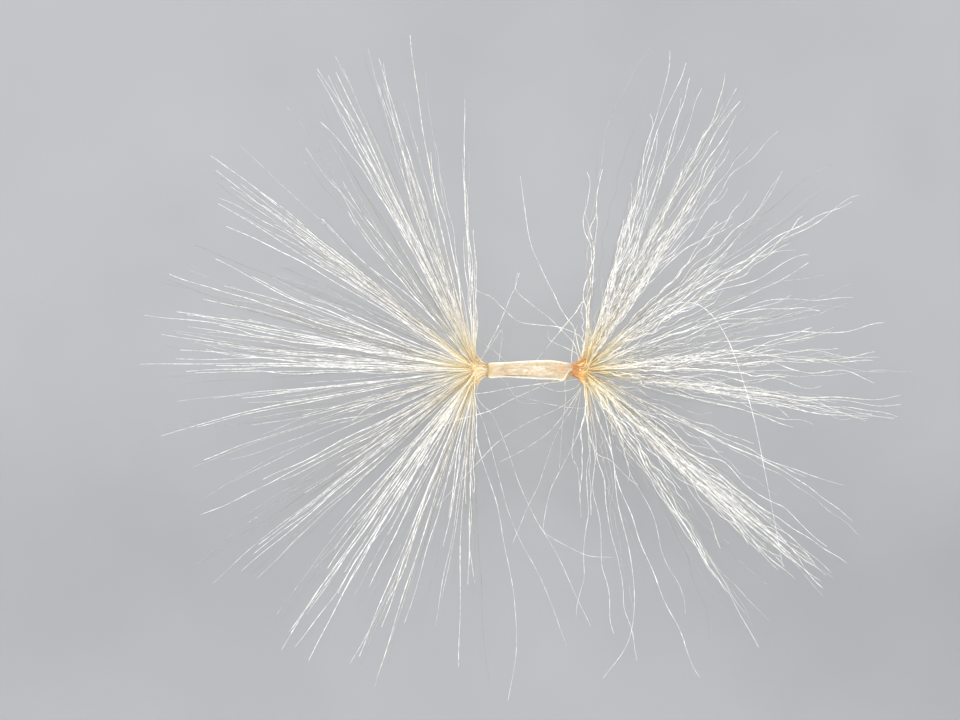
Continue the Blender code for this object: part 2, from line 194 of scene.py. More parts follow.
# Stray hairs, each by the points that it passes, in millimetres from the seed's middle.
STRAYS = {
    LEFT: (
        ((-5.3, 0.8, -0.2), (-5.4, 1.2, -0.4), (-4.2, 2.8, -0.8), (-3.05, 4.3, -1.2),
         (-3.4, 1.0, -1.6), (-3.7, -0.4, -1.8)),
        ((-5.4, 0.8, -0.5), (-5.1, 1.6, -1.1), (-3.7, 4.3, -2.2), (-2.9, 6.1, -3.0), (-2.1, 8.1, -3.7),
         (-1.6, 9.1, -4.1), (-1.1, 10.8, -4.6)),
        ((-5.8, 1.3, -0.6), (-6.4, 3.8, -1.0), (-6.0, 3.5, -1.3), (-4.0, 2.1, -1.8),
         (-2.6, 0.9, -2.2)),
        ((-5.2, -0.5, -0.6), (-4.0, -0.6, -1.5), (-2.9, -1.1, -1.8), (-2.0, -2.4, -2.2),
         (-1.1, -3.6, -2.6), (0.9, -3.8, -3.0)),
        ((-5.6, -1.0, -0.6), (-5.8, -3.1, -2.0), (-4.0, -5.3, -3.0), (-2.4, -9.0, -4.4),
         (-1.1, -12.8, -5.8), (0.7, -16.7, -7.0), (3.3, -21.1, -8.4), (5.3, -25.5, -9.6),
         (7.1, -29.2, -10.4)),
        ((-5.7, -1.1, -0.3), (-6.1, -3.1, -0.8), (-4.8, -6.8, -1.6), (-3.3, -12.3, -2.6),
         (-2.4, -15.6, -3.2), (-1.1, -18.9, -3.8), (0.7, -22.2, -4.4), (2.2, -25.5, -5.0),
         (4.2, -31.0, -6.0)),
        ((-5.8, -1.2, 0.2), (-6.3, -2.9, 0.4), (-5.7, -8.4, 0.8), (-3.7, -14.5, 0.8),
         (-2.9, -18.9, 0.6), (-2.2, -22.2, 0.3), (-1.7, -25.5, 0.0), (-1.5, -31.0, -0.6),
         (-2.4, -36.5, -1.2)),
    ),
    RIGHT: (
        ((5.6, 1.1, 0.1), (5.8, 3.2, 0.6), (4.7, 4.1, 0.8), (3.0, 4.7, 0.6), (1.1, 4.9, 0.2),
         (-1.2, 5.3, -0.5), (-3.0, 6.8, -1.2), (-4.2, 8.0, -1.6), (-5.4, 8.5, -2.0),
         (-6.6, 9.4, -2.6)),
        ((5.5, 1.0, -0.4), (5.2, 1.9, -0.8), (4.8, 3.0, -1.4), (3.7, 4.2, -2.0), (2.2, 5.7, -2.6),
         (0.3, 7.2, -3.2), (-1.5, 8.9, -3.6), (-1.3, 10.8, -4.0)),
        ((5.7, 1.1, 0.5), (5.3, 2.5, 0.9), (4.8, 4.6, 0.7), (4.1, 5.6, 0.3), (3.3, 6.9, -0.4),
         (2.7, 8.3, -1.2), (2.0, 9.7, -2.0), (1.1, 11.7, -2.8), (0.0, 14.6, -3.6), (-1.0, 21.6, -4.6)),
        ((5.7, 1.0, 0.6), (6.1, 4.2, 1.8), (6.1, 6.6, 2.2), (5.7, 7.4, 2.1), (5.0, 6.3, 1.6),
         (3.6, 4.6, 0.4), (0.8, 1.1, -1.5), (-0.6, -0.6, -2.0)),
        ((5.4, 0.9, 0.1), (5.2, 1.7, 0.1), (4.5, 2.1, 0.0), (3.7, 2.5, -0.2), (2.6, 3.0, -0.5),
         (2.1, 3.4, -0.8), (2.0, 4.2, -1.2)),
        ((5.3, 0.6, -0.5), (4.6, 0.9, -1.1), (5.0, 4.0, -1.6), (5.3, 4.9, -1.8)),
        ((5.4, -0.8, -0.5), (4.9, -1.1, -0.8), (2.4, -1.4, -0.8), (-2.0, -2.0, -0.5),
         (-4.6, -2.5, 0.0), (-6.6, -2.8, 0.4), (-9.0, -4.0, 1.0)),
        ((5.2, -0.5, -0.7), (4.0, -0.7, -1.4), (2.9, -1.1, -1.4), (-2.0, -3.3, -0.6),
         (-4.6, -4.6, 0.0), (-9.0, -5.9, 1.4), (-14.3, -8.9, 2.4)),
        ((5.8, -1.1, -0.5), (5.6, -2.0, -1.0), (3.7, -4.0, -2.0), (-0.2, -5.9, -3.0),
         (-3.3, -7.9, -3.6), (-5.3, -9.9, -4.2), (-7.5, -12.3, -4.8), (-10.3, -15.4, -5.4)),
        ((5.8, -1.1, -0.2), (5.4, -2.4, -0.4), (2.6, -6.4, -1.4), (-0.2, -8.6, -2.4),
         (-3.3, -10.3, -3.4)),
        ((5.9, -1.2, -0.6), (4.8, -4.2, -2.4), (2.9, -7.5, -3.8), (1.1, -12.8, -5.6),
         (-0.2, -15.6, -6.6), (-1.8, -19.6, -7.8)),
        ((5.9, -1.2, 0.1), (6.2, -4.2, -0.4), (5.5, -6.8, -1.2), (3.7, -10.6, -2.4),
         (2.4, -13.2, -3.0), (1.8, -15.8, -3.6), (1.6, -17.9, -4.0), (2.4, -18.7, -4.2),
         (4.4, -19.8, -4.4), (6.6, -20.8, -4.6), (9.3, -21.0, -4.8)),
        ((5.7, -1.1, -0.4), (5.0, -2.0, -0.8), (3.3, -2.4, -1.2), (1.5, -1.9, -1.6),
         (0.7, -1.2, -1.8)),
        ((5.2, -0.5, -0.7), (4.0, -1.1, -1.8), (4.0, -3.5, -3.2), (3.7, -6.2, -4.6),
         (3.4, -11.0, -6.0)),
        ((5.9, -1.2, -0.2), (6.3, -4.0, -2.2), (4.4, -4.2, -2.8), (2.0, -3.8, -3.2),
         (-0.2, -3.2, -3.4), (-2.4, -2.8, -3.6)),
        ((6.1, -1.4, 0.5), (7.9, -4.2, 1.8), (9.0, -9.7, 2.6), (9.5, -14.5, 3.0), (10.8, -20.0, 3.4),
         (11.3, -25.5, 3.4), (10.5, -29.9, 3.2), (7.9, -33.6, 3.0)),
        ((6.0, -1.3, -0.2), (6.6, -4.8, -1.2), (7.3, -9.0, -2.4), (9.0, -10.1, -2.8),
         (11.0, -12.1, -3.2), (12.1, -12.8, -3.4)),
        ((5.8, -1.1, -0.8), (4.8, -9.0, -5.0), (5.5, -11.4, -6.0), (5.9, -16.7, -7.6)),
        ((6.6, 0.3, 1.2), (12.0, 5.4, 5.6), (17.0, 7.2, 8.6), (20.4, 4.0, 10.4), (23.0, -3.4, 11.6),
         (24.6, -11.0, 12.4), (26.4, -20.8, 13.0)),
    ),
}
SEED_MIDDLE = (0, 0.7 * SEED_BOW, SEED_HEIGHT)  # with about the mean of its bow
THICK_STRAYS = {LEFT: (), RIGHT: (3, 6, 7)}  # by their order among their tuft's strays
THICK_STRAY_SHARE = 1.3  # of FINE_RADIUS
STRAY_TONE = 0.55
STRAY_START = 4 * MM  # a stray hair has the colours of a hair this far from its root

# The root of a tuft has a core, and the hairs that spread widest start on the skin around it. Each
# pair is (distance from the seed's end, radius) in millimetres.
CORE_OUTLINE = (
    (-0.06, 0.54), (0.00, 0.62), (0.32, 0.68), (0.62, 0.86), (0.86, 1.08), (1.06, 1.24),
    (1.28, 1.26), (1.50, 1.12), (1.70, 0.86), (1.84, 0.54), (1.91, 0.24), (1.93, 0.02),
)
SKIN_OUTLINE = (
    (0.00, 0.62), (0.35, 0.70), (0.65, 0.92), (0.90, 1.24), (1.12, 1.66), (1.32, 2.04), (1.50, 2.44),
)
CORE_LEAST = 0.01  # millimetres, of the core's radius
ROOT_GRID = (90, 260)  # points along it and round it
ROOT_SEEDS = {LEFT: 205, RIGHT: 207}
FLUTES, FOLDS = (60, 7), (9, 4)  # (about how many go round it, sines that make them)
FLUTE_DEPTH, FOLD_DEPTH = 0.022, 0.03  # shares of its radius
FLUTE_SHIFT = 0.03 * MM  # along the axis
FLUTE_START, FLUTE_GROWTH = 0.1, 1.3  # millimetres from the seed's end
FOLD_AT_JOINT = 0.2  # share of their depth that the folds have there
SKIN_HAIRS = 0.50  # a skin hair's direction has less than this share of its tuft's axis
SKIN_LIFT = 0.4 * FINE_RADIUS  # of its middle above the skin
SKIN_LENGTH = (0.7 * MM, 1.7 * MM)  # that a skin hair keeps to the root before it parts
PARTING_LENGTH = 1.8 * MM
SKIN_EVENNESS = 0.75  # of the bases of the skin hairs, round the root
SIDE_STEP, HEADING_STEP = 5, 8  # of its path, by which its side of the root and heading are found
FIBRES = 130
FIBRE_CUT = (0.08, 0.14)  # share of a long hair's length that a fibre has
FIBRE_TURN = 0.22  # radians round the tuft's axis between it and that hair

# Each hair has its own strip of the bake map, in columns. Its walls and its two caps have these
# places in it, as shares of the strip.
BAKE_COLUMNS = 8
WALL_START, WALL_REACH = (0.02, 0.06), (0.90, 0.88)
CAP_STARTS, CAP_REACH = ((0.945, 0.1), (0.945, 0.6)), (0.03, 0.3)

# What the looks add to the coat.
COAT_GRID = (260, 180)  # points along it and round it
PLACE_GRID = (60, 120)  # the same, where only its box is wanted
COAT_SEED = 3
GRAIN = (34, 6)  # (about how many go round it, sines that make them)
GRAIN_SWAY, GRAIN_SWAY_TURN = 0.05, 3  # radians by which the grain wanders, and of its wave
GRAIN_HEIGHT = 0.007 * MM
SWELLS = ((5, 2, 0), (11, -3, 1))  # (turns along it, turns round it, start) in radians
SWELL_HEIGHT = 0.012 * MM
GROOVE_DEPTH = 0.035 * MM
GROOVE_ANGLE, GROOVE_HALF_WIDTH = math.radians(19), math.radians(5)  # from the seam
GROOVE_START, GROOVE_GROWTH = -0.66, 0.14
GROOVE_END, GROOVE_FADE = 0.72, 0.2
FAINT_PLACE, FAINT_GROWTH, FAINT_LOSS = -0.14, 0.12, 0.7  # where the groove is fainter, how much
BLUSH_PLACE, BLUSH_REACH = 0.76, 0.12
BLUSH_ANGLE, BLUSH_HALF_WIDTH = math.radians(12), math.radians(40)
HOLLOW_DEPTH = 0.03 * MM  # of the flat face
HOLLOW_ANGLE, HOLLOW_HALF_WIDTH = math.radians(-4), math.radians(38)
PLAIN_END = 0.06  # share of its half length, at each end, where all of this fades out
# The pale lines along the seam and the rim are partly their own colour and partly a painted highlight on
# those edges.
SEAM_PALE, RIM_PALE = math.radians(10), math.radians(12)  # half the width of each one's pale line
COAT_CAP = 0.02  # share of an end's radius that its last ring has

# The picture: the camera looks straight down.
PICTURE_WIDTH = 105.6 * MM  # of what it shows at the seed's height
CAMERA_SHIFT = (-5.5 * MM, 1.09 * MM)  # from the seed's middle
CAMERA_DISTANCE = 300 * MM
CAMERA_START = 10 * MM  # of what it shows, from the camera
SENSOR = 36
FLOOR_SIZE = 3
# Each light: (name, (bearing, rise) in degrees, distance and size in metres, watts).
LIGHTS = (
    ("side_light", (150, 17), 0.9, 0.2, 12.0),
    ("far_light", (25, 19), 1.0, 0.24, 9.5),
    ("near_light", (265, 16), 1.0, 0.3, 9.0),
    ("top_light", (90, 74), 1.2, 0.8, 8.6),
)
ROOM_COLOUR, ROOM_LIGHT = (0.70, 0.71, 0.73, 1), 0.25


def smoothstep(share):
    share = np.clip(share, 0, 1)
    return share * share * (3 - 2 * share)


def bell(value, width):
    return np.exp(-((value / width) ** 2))


def unit(vectors):
    return vectors / np.maximum(np.linalg.norm(vectors, axis=-1, keepdims=True), TINY)


def distances_along(lines):
    """How far along its line each point is, from the line's first one."""
    steps = np.linalg.norm(np.diff(lines, axis=-2), axis=-1)
    return np.concatenate([np.zeros_like(steps[..., :1]), np.cumsum(steps, -1)], -1)


def bearing_and_rise(bearing, rise):
    """The direction with this bearing and rise, in degrees."""
    bearing, rise = math.radians(bearing), math.radians(rise)
    level = math.cos(rise)
    return np.array((level * math.cos(bearing), level * math.sin(bearing), math.sin(rise)))


# The hairs' middle lines, by the solids' own rule.


def even_directions(side, draw):
    """Directions spread evenly over a tuft, by a golden spiral from its axis to its rim."""
    number = np.arange(HAIR_COUNT)
    out = 1 - (number + 0.5) / HAIR_COUNT * (1 - math.cos(WIDEST_ANGLE))
    turn = number * GOLDEN_ANGLE
    level = np.sqrt(1 - out**2)
    spread = np.stack([side * out, level * np.cos(turn), level * np.sin(turn)], 1)
    spread[:, 2] *= TUFT_FLATNESS
    return unit(spread + draw.normal(0, DIRECTION_SPREAD, spread.shape))


def lock_directions(side):
    """The listed locks, and rings of others above and below them."""
    found = [bearing_and_rise(*lock) for lock in LOCKS[side]]
    for rise, skip in LOCK_RINGS:
        found += [bearing_and_rise(bearing, rise) for bearing, _ in LOCKS[side][::skip]]
    return np.array(found)


def hair_directions(side, draw):
    """Where each hair points: even directions drawn towards locks, thinned, then thick locks.

    With it comes how loosely each hair keeps to that direction.
    """
    even = even_directions(side, draw)
    locks = lock_directions(side)
    nearest = locks[np.argmax(even @ locks.T, axis=1)]
    pull = LOCK_PULL[side] * draw.uniform(LEAST_PULL, 1, (len(even), 1))
    gathered = unit(even * (1 - pull) + nearest * pull)
    bearing = np.degrees(np.arctan2(gathered[:, 1], side * gathered[:, 0]))
    chance = draw.random(len(gathered))
    for low, high, share in THIN_PARTS[side]:
        kept = (bearing < low) | (bearing > high) | (chance < share)
        gathered, bearing, chance = gathered[kept], bearing[kept], chance[kept]
    directions, looseness = [gathered], [np.ones(len(gathered))]
    for bearing, rise, hairs, loose in THICK_LOCKS[side]:
        spread = draw.normal(0, THICK_LOCK_SPREAD * loose, (hairs, 3))
        directions.append(unit(bearing_and_rise(bearing, rise) + spread))
        looseness.append(np.full(hairs, loose))
    return np.concatenate(directions), np.concatenate(looseness)[:, None]


def root_points(side, directions):
    """Where each hair leaves the seed's end: hairs that spread widest grow outermost."""
    out = np.clip(directions[:, 0] * side, math.cos(WIDEST_ANGLE), 1)
    share = np.sqrt((1 - out) / (1 - math.cos(WIDEST_ANGLE)))
    start = np.zeros_like(directions)
    start[:, 0] = side * (SEED_LENGTH / 2 + JOINT_GAP)
    start[:, 1:] = BUNDLE_RADIUS * share[:, None] * unit(directions[:, 1:])
    start[:, 2] += SEED_HEIGHT
    return start


def bent_by_surface(heading, place, side):
    """The heading, turned outwards and level where it comes down near the surface."""
    near = np.clip((place[:, 2] - LIE_HEIGHT) / BEND_HEIGHT, 0, 1)
    fall = np.where(heading[:, 2] < 0, heading[:, 2] * near, heading[:, 2])
    outward = np.array((side * LIE_OUTWARD, 0))
    level = unit(heading[:, :2] + outward * (1 - near[:, None]))
    flat = np.sqrt(np.clip(1 - fall**2, 0, 1))
    return np.concatenate([level * flat[:, None], fall[:, None]], 1)


def hair_paths(side):
    """The points of each hair's middle line, as an array of hairs by steps by 3."""
    draw = np.random.default_rng(SEEDS[side])
    directions, looseness = hair_directions(side, draw)
    count = len(directions)
    lengths = HAIR_LENGTH[side] * (1 - LENGTH_LOSS[side] * draw.random(count) ** LOSS_CURVE)
    broken = draw.random(count) < BROKEN_SHARE
    lengths *= np.where(broken, draw.uniform(*BROKEN_LENGTH, count), 1)
    bow = draw.normal(0, BOW[side], (count, 3)) * looseness
    sway = draw.normal(0, WAVE[side], (2, count, 3)) * looseness
    phase = draw.uniform(0, 2 * math.pi, (2, count, 1))
    axis = np.array((side, 0.0, 0.0))
    step = lengths[:, None] / STEPS
    points = [root_points(side, directions)]
    for number in range(STEPS):
        share = (number + 0.5) / STEPS
        turned = smoothstep(share * lengths[:, None] / TURN_LENGTH)
        free = np.clip((share - STIFF_SHARE) / (1 - STIFF_SHARE), 0, 1)
        wave = sum(sway[i] * np.sin(turns * share + phase[i]) for i, turns in enumerate(WAVE_TURNS))
        heading = axis * (1 - turned) + (directions + bow * free**2 + wave * free) * turned
        heading[:, 0] = side * np.maximum(heading[:, 0] * side, -MOST_INWARD)
        heading = bent_by_surface(unit(heading), points[-1], side)
        points.append(points[-1] + heading * step)
    return np.stack(points, 1)


# The finer shape of the hairs.


def sampled(paths, at):
    """The points of paths at fractional numbers of steps, an array of as many rows."""
    low = np.clip(at.astype(int), 0, paths.shape[1] - 2)
    share = (at - low)[..., None]
    row = np.arange(len(paths))[:, None]
    return paths[row, low] * (1 - share) + paths[row, low + 1] * share


def companions(paths, side, draw):
    """Finer hairs that keep along a hair for a while and then part from it."""
    number = np.repeat(np.arange(len(paths)), draw.choice(COMPANIONS, len(paths)))
    each = (len(number), 1, 1)
    share = np.linspace(0, 1, STEPS + 1)[None, :, None]
    parting = draw.uniform(*COMPANION_PARTING, each)
    away = unit(draw.normal(0, 1, (len(number), 1, 3))) * draw.uniform(*COMPANION_REACH, each)
    offset = away * COMPANION_SPREAD[side] * smoothstep((share - parting) / (1 - parting))
    offset = offset * smoothstep(share * COMPANION_HOLD)
    cut = draw.uniform(COMPANION_CUT, 1.0, (len(number), 1))
    return sampled(paths[number], np.arange(STEPS + 1) * cut) + offset


def kinked(paths, side, draw):
    """The paths with small sways that grow from the root on."""
    each = (len(paths), 1, 1)
    share = np.linspace(0, 1, STEPS + 1)[None, :, None]
    found = paths.copy()
    for size, waves in KINKS[side]:
        for _ in range(KINK_LAYERS):
            way = draw.normal(0, 1, (len(paths), 1, 3))
            turns = 2 * math.pi * (waves * draw.uniform(*KINK_RANGE, each))
            sway = np.sin(turns * share + draw.uniform(0, 2 * math.pi, each))
            found += size * KINK_LAYER_SHARE * way * sway * smoothstep(share * KINK_HOLD)
    return found


def smooth_line(points, count):
    """A curve through a few points, as that many more."""
    points = np.array(points)
    ends = np.concatenate([[2 * points[0] - points[1]], points, [2 * points[-1] - points[-2]]])
    at = np.linspace(0, len(points) - 1, count)
    low = np.minimum(at.astype(int), len(points) - 2)
    t = (at - low)[:, None]
    a, b, c, d = (ends[low + i] for i in range(4))
    return 0.5 * (
        2 * b + (c - a) * t + (2 * a - 5 * b + 4 * c - d) * t**2 + (3 * b - a - 3 * c + d) * t**3
    )


def stray_paths(side):
    lines = [smooth_line(points, SEGMENTS + 1) for points in STRAYS[side]]
    return np.array(lines) * MM + SEED_MIDDLE


def laid_on_root(paths, side, draw):
    """The paths, where those of the rim's hairs start on the skin of the root, not inside it."""
    middle = np.array((0, 0, SEED_HEIGHT))
    distance = distances_along(paths)
    skin = np.array(SKIN_OUTLINE) * MM
    along_skin = distances_along(skin)
    out = np.interp(distance, along_skin, skin[:, 0])
    radius = np.interp(distance, along_skin, skin[:, 1]) + SKIN_LIFT
    far = paths[:, SIDE_STEP] - middle
    angle = np.arctan2(far[:, 1], far[:, 2])
    heading = unit(paths[:, HEADING_STEP] - paths[:, 0])
    chosen = np.flatnonzero(heading[:, 0] * side < SKIN_HAIRS)
    order = chosen[np.argsort(angle[chosen])]
    even = (np.arange(len(order)) + 0.5) / len(order) * 2 * math.pi - math.pi
    even += np.mean(angle[order] - even)
    angle[order] += SKIN_EVENNESS * (even - angle[order])
    across = np.stack([np.sin(angle), np.cos(angle)], 1)[:, None, :]
    on_skin = np.concatenate(
        [side * (SEED_LENGTH / 2 + out)[..., None], radius[..., None] * across], -1
    ) + middle
    share = np.zeros(distance.shape)
    kept = draw.uniform(*SKIN_LENGTH, (len(chosen), 1))
    share[chosen] = 1 - smoothstep((distance[chosen] - kept) / PARTING_LENGTH)
    return paths + (on_skin - paths) * share[..., None]


def fibres(paths, draw):
    """Short hairs that fill the root, between the bases of the long ones and like them."""
    number = draw.integers(0, len(paths), FIBRES)
    cut = draw.uniform(*FIBRE_CUT, (FIBRES, 1))
    found = sampled(paths[number], np.linspace(0, STEPS, SEGMENTS + 1) * cut)
    turn = draw.uniform(-FIBRE_TURN, FIBRE_TURN, (FIBRES, 1))
    y, z = found[..., 1], found[..., 2] - SEED_HEIGHT
    turned = [y * np.cos(turn) - z * np.sin(turn), y * np.sin(turn) + z * np.cos(turn) + SEED_HEIGHT]
    return np.stack([found[..., 0], *turned], -1)


def all_paths(side, place):
    """Every hair of a tuft: the solids' own, the finer ones, the fibres and the strays."""
    draw = np.random.default_rng(COMPANION_SEEDS[side])
    own = hair_paths(side)
    found = np.concatenate([own, companions(own, side, draw)])
    found = laid_on_root(kinked(found, side, draw), side, draw)
    every = np.broadcast_to(np.linspace(0, STEPS, SEGMENTS + 1), (len(found), SEGMENTS + 1))
    found = np.concatenate([sampled(found, every), fibres(found, draw), stray_paths(side)]) + place
    found[:, :, 2] = np.maximum(found[:, :, 2], FINE_RADIUS)
    return found


# Meshes.


def new_piece(name, mesh, material):
    piece = bpy.data.objects.new(name, mesh)
    bpy.context.scene.collection.objects.link(piece)
    mesh.materials.append(material)
    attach(piece, "root")
    return piece


def quad_mesh(name, corners, faces, places=None):
    """A mesh of four-cornered faces, with a bake map where places gives one for each corner."""
    mesh = bpy.data.meshes.new(name)
    mesh.vertices.add(len(corners))
    mesh.vertices.foreach_set("co", np.ascontiguousarray(corners, np.float32).ravel())
    mesh.loops.add(faces.size)
    mesh.loops.foreach_set("vertex_index", np.ascontiguousarray(faces, np.int32).ravel())
    mesh.polygons.add(len(faces))
    mesh.polygons.foreach_set("loop_start", np.arange(0, faces.size, 4, dtype=np.int32))
    mesh.update(calc_edges=True)
    if places is not None:
        layer = mesh.uv_layers.new(name="OFBake")
        layer.data.foreach_set("uv", np.ascontiguousarray(places, np.float32).ravel())
    mesh.validate()
    return mesh


def add_values(mesh, name, values):
    layer = mesh.attributes.new(name, "FLOAT", "POINT")
    layer.data.foreach_set("value", np.ascontiguousarray(values, np.float32).ravel())


def hair_frames(paths):
    """For each point of each path, two directions across it that don't spin along the path."""
    ahead = unit(np.gradient(paths, axis=1))
    first, mean = ahead[:, 0], unit(ahead[:, 2:].mean(1))
    level = np.cross(first, mean)
    spare = np.cross(mean, np.array(SPARE_DIRECTION))
    turns = np.linalg.norm(level, axis=1, keepdims=True) > STRAIGHT
    level = np.where(turns, level, spare)[:, None]
    across = unit(level - (level * ahead).sum(-1, keepdims=True) * ahead)
    return across, np.cross(ahead, across)


def tube_corners(paths, radius, spin):
    """The corners of a flattened tube round each path, turned by spin."""
    across, up = hair_frames(paths)
    corners = np.empty((*paths.shape[:2], SIDES, 3))
    for corner in range(SIDES):
        angle = 2 * math.pi * corner / SIDES
        wide, thick = math.cos(angle) * radius, math.sin(angle) * radius * FLATNESS
        one = wide * np.cos(spin) - thick * np.sin(spin)
        two = wide * np.sin(spin) + thick * np.cos(spin)
        corners[:, :, corner] = paths + across * one[..., None] + up * two[..., None]
    return corners


def tube_faces(count, rings):
    """The faces of as many tubes: all their walls, then their first caps, then their last ones."""
    base = np.arange(count)[:, None, None] * rings * SIDES
    ring = base + np.arange(rings - 1)[None, :, None] * SIDES
    corner = np.arange(SIDES)[None, None, :]
    after = (corner + 1) % SIDES
    walls = np.stack([ring + corner, ring + after, ring + SIDES + after, ring + SIDES + corner], -1)
    first = base[:, 0] + np.arange(SIDES)[::-1]
    last = base[:, 0] + (rings - 1) * SIDES + np.arange(SIDES)
    return np.concatenate([walls.reshape(-1, 4), first, last])


def tube_places(count, rings):
    """Where the corners of those faces are in the bake map."""
    rows = math.ceil(count / BAKE_COLUMNS)
    number = np.arange(count)
    start = np.stack([number % BAKE_COLUMNS / BAKE_COLUMNS, number // BAKE_COLUMNS / rows], -1)
    u = WALL_START[0] + WALL_REACH[0] * np.arange(rings) / (rings - 1)
    v = WALL_START[1] + WALL_REACH[1] * np.arange(SIDES + 1) / SIDES
    walls = np.empty((count, rings - 1, SIDES, 4, 2))
    walls[..., 0, 0] = walls[..., 1, 0] = u[:-1][None, :, None]
    walls[..., 2, 0] = walls[..., 3, 0] = u[1:][None, :, None]
    walls[..., 0, 1] = walls[..., 3, 1] = v[:-1][None, None, :]
    walls[..., 1, 1] = walls[..., 2, 1] = v[1:][None, None, :]
    square = np.array(((0.0, 0.0), (0.0, 1.0), (1.0, 1.0), (1.0, 0.0)))
    caps = [np.broadcast_to(square * CAP_REACH + at, (count, 1, 1, 4, 2)) for at in CAP_STARTS]
    places = []
    for part in (walls, *caps):
        placed = part * (1 / BAKE_COLUMNS, 1 / rows) + start[:, None, None, None, :]
        places.append(placed.reshape(-1, 4, 2))
    return np.concatenate(places)


def make_hairs(name, side, place, material):
    """All the hairs of a tuft as one mesh of slim, flattened, slightly twisted tubes."""
    paths = all_paths(side, place)
    count, rings, _ = paths.shape
    first_stray = count - len(STRAYS[side])
    draw = np.random.default_rng(HAIR_SEEDS[side])
    share = np.linspace(0, 1, rings)[None, :]
    distance = distances_along(paths)
    distance[first_stray:] += STRAY_START
    colour_at = distance + COLOUR_SHIFT * draw.uniform(-1, 1, (count, 1)) * smoothstep(distance / MM)
    tone = draw.random((count, 1))
    tone[first_stray:] = STRAY_TONE
    radius = FINE_RADIUS * (THINNEST + THICKNESS_RANGE * tone**THICKNESS_CURVE)
    radius[[first_stray + number for number in THICK_STRAYS[side]]] = THICK_STRAY_SHARE * FINE_RADIUS
    radius = radius * (1 - (1 - TIP_SHARE) * share**TAPER_CURVE)
    radius = radius * (1 + (BASE_SHARE - 1) * (1 - smoothstep(distance / BASE_LENGTH)))
    spin = draw.uniform(0, 2 * math.pi, (count, 1))
    spin = spin + draw.uniform(-MOST_TURNS, MOST_TURNS, (count, 1)) * 2 * math.pi * share
    corners = tube_corners(paths, radius, spin)
    mesh = quad_mesh(name, corners.reshape(-1, 3), tube_faces(count, rings), tube_places(count, rings))
    add_values(mesh, "distance", np.repeat(colour_at[..., None] / MM, SIDES, 2))
    add_values(mesh, "tone", np.broadcast_to(tone[..., None], (count, rings, SIDES)))
    hairs = new_piece(name, mesh, material)
    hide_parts(SLOTS[side])


def grid_mesh(name, corners):
    """A closed skin over a grid of points: rows run along it and each row goes round it."""
    rows, around, _ = corners.shape
    row = np.arange(rows - 1)[:, None] * around
    column = np.arange(around)[None, :]
    after = (column + 1) % around
    faces = np.stack([row + column, row + around + column, row + around + after, row + after], -1)
    mesh = quad_mesh(name, corners.reshape(-1, 3), faces.reshape(-1, 4))
    mesh.shade_smooth()
    return mesh


def fold_noise(draw, angle, waves, terms):
    """A smooth random curve round a circle, between about -1 and 1."""
    found = np.zeros_like(angle)
    for _ in range(terms):
        turns = draw.integers(waves // 2, waves * 2)
        found += np.sin(turns * angle + draw.uniform(0, 2 * math.pi))
    return found / terms**0.5


def make_root(name, side, place, material):
    """The flared root of a tuft, fluted where the hairs' bases leave it."""
    rows, around = ROOT_GRID
    distance, radius = smooth_line(CORE_OUTLINE, rows).T
    distance, radius = distance * MM, np.maximum(radius, CORE_LEAST) * MM
    draw = np.random.default_rng(ROOT_SEEDS[side])
    angle = np.linspace(0, 2 * math.pi, around, endpoint=False)[None, :]
    flutes = fold_noise(draw, angle, *FLUTES)
    folds = fold_noise(draw, angle, *FOLDS)
    out = smoothstep((distance[:, None] / MM - FLUTE_START) / FLUTE_GROWTH)
    change = FLUTE_DEPTH * flutes * out + FOLD_DEPTH * folds * (FOLD_AT_JOINT + out)
    wide = radius[:, None] * (1 + change)
    x = side * (SEED_LENGTH / 2 + distance[:, None] + FLUTE_SHIFT * flutes * out)
    corners = np.stack([x, wide * np.sin(angle), wide * np.cos(angle) + SEED_HEIGHT], -1)
    along = distances_along(np.stack([distance, radius], 1))[:, None] / MM
    if side == LEFT:
        # The other way round, so that the faces still look outwards.
        corners, flutes = corners[:, ::-1], flutes[:, ::-1]
    mesh = grid_mesh(name, corners + place)
    add_values(mesh, "distance", np.broadcast_to(along, ROOT_GRID))
    add_values(mesh, "flute", np.broadcast_to(flutes, ROOT_GRID))
    new_piece(name, mesh, material)


def turn_from(angle, start):
    """The angle from start, between half a turn back and half a turn on."""
    return (angle - start + math.pi) % (2 * math.pi) - math.pi


def middle_aside(along):
    """How far towards +Y the seed's middle stands, at a share of its half length."""
    return SEED_BOW * (1 - along**2) - DIP * bell(along - DIP_PLACE, DIP_REACH)


